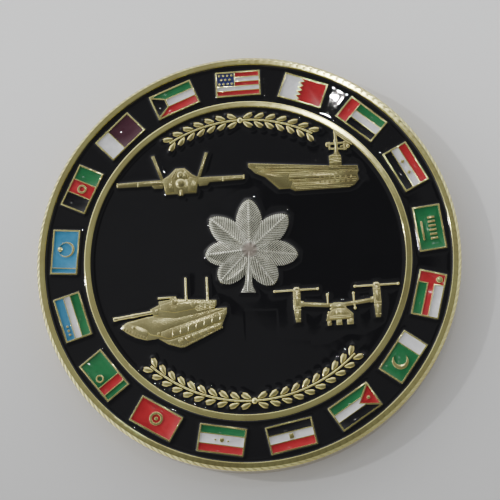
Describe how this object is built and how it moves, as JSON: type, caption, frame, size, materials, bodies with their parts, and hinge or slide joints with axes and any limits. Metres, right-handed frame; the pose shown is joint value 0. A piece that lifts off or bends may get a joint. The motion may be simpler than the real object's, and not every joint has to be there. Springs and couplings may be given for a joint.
{
  "type": "challenge coin",
  "caption": "Round two-sided gold-plated challenge coin with raised vehicle reliefs, a silver oak leaf, enamel-filled fields and a band of small enamel flags inside a nicked rim.",
  "frame": {"origin": "centre of the reverse rest plane, under the middle of the coin", "axes": "+Z out of the obverse (front) face along the coin's axis; +Y towards the top of the obverse design; +X to the design's right"},
  "size_m": [0.0508, 0.0508, 0.004],
  "materials": {
    "gold_plate": "polished pale gold plate on a struck metal blank, slight wear on the rims",
    "silver_plate": "satin silver plate, crisp herringbone veins",
    "enamel_black": "cured soft enamel, glossy, slightly sunk with raised edges",
    "enamel_blue": "cured soft enamel, glossy",
    "enamel_red": "cured soft enamel, glossy",
    "enamel_white": "cured soft enamel, glossy",
    "enamel_green": "cured soft enamel, glossy",
    "enamel_skyblue": "cured soft enamel, glossy",
    "enamel_maroon": "cured soft enamel, glossy"
  },
  "bodies": {
    "root": {"coin_blank": "gold_plate", "silver_leaf": "silver_plate", "field_enamel": "enamel_black", "band_enamel": "enamel_black", "reverse_enamel": "enamel_black", "flag01_blue": "enamel_blue", "flag01_red": "enamel_red", "flag01_white": "enamel_white", "flag02_white": "enamel_white", "flag02_red": "enamel_red", "flag03_red": "enamel_red", "flag03_green": "enamel_green", "flag03_white": "enamel_white", "flag03_black": "enamel_black", "flag04_red": "enamel_red", "flag04_white": "enamel_white", "flag04_black": "enamel_black", "flag05_green": "enamel_green", "flag06_red": "enamel_red", "flag06_white": "enamel_white", "flag06_green": "enamel_green", "flag07_white": "enamel_white", "flag07_green": "enamel_green", "flag08_red": "enamel_red", "flag08_black": "enamel_black", "flag08_white": "enamel_white", "flag08_green": "enamel_green", "flag09_red": "enamel_red", "flag09_white": "enamel_white", "flag09_black": "enamel_black", "flag10_red": "enamel_red", "flag10_white": "enamel_white", "flag10_green": "enamel_green", "flag11_red": "enamel_red", "flag12_green": "enamel_green", "flag12_red": "enamel_red", "flag13_blue": "enamel_blue", "flag13_white": "enamel_white", "flag13_green": "enamel_green", "flag14_skyblue": "enamel_skyblue", "flag15_black": "enamel_black", "flag15_red": "enamel_red", "flag15_green": "enamel_green", "flag16_white": "enamel_white", "flag16_maroon": "enamel_maroon", "flag17_green": "enamel_green", "flag17_white": "enamel_white", "flag17_red": "enamel_red", "flag17_black": "enamel_black"}
  },
  "joints": []
}
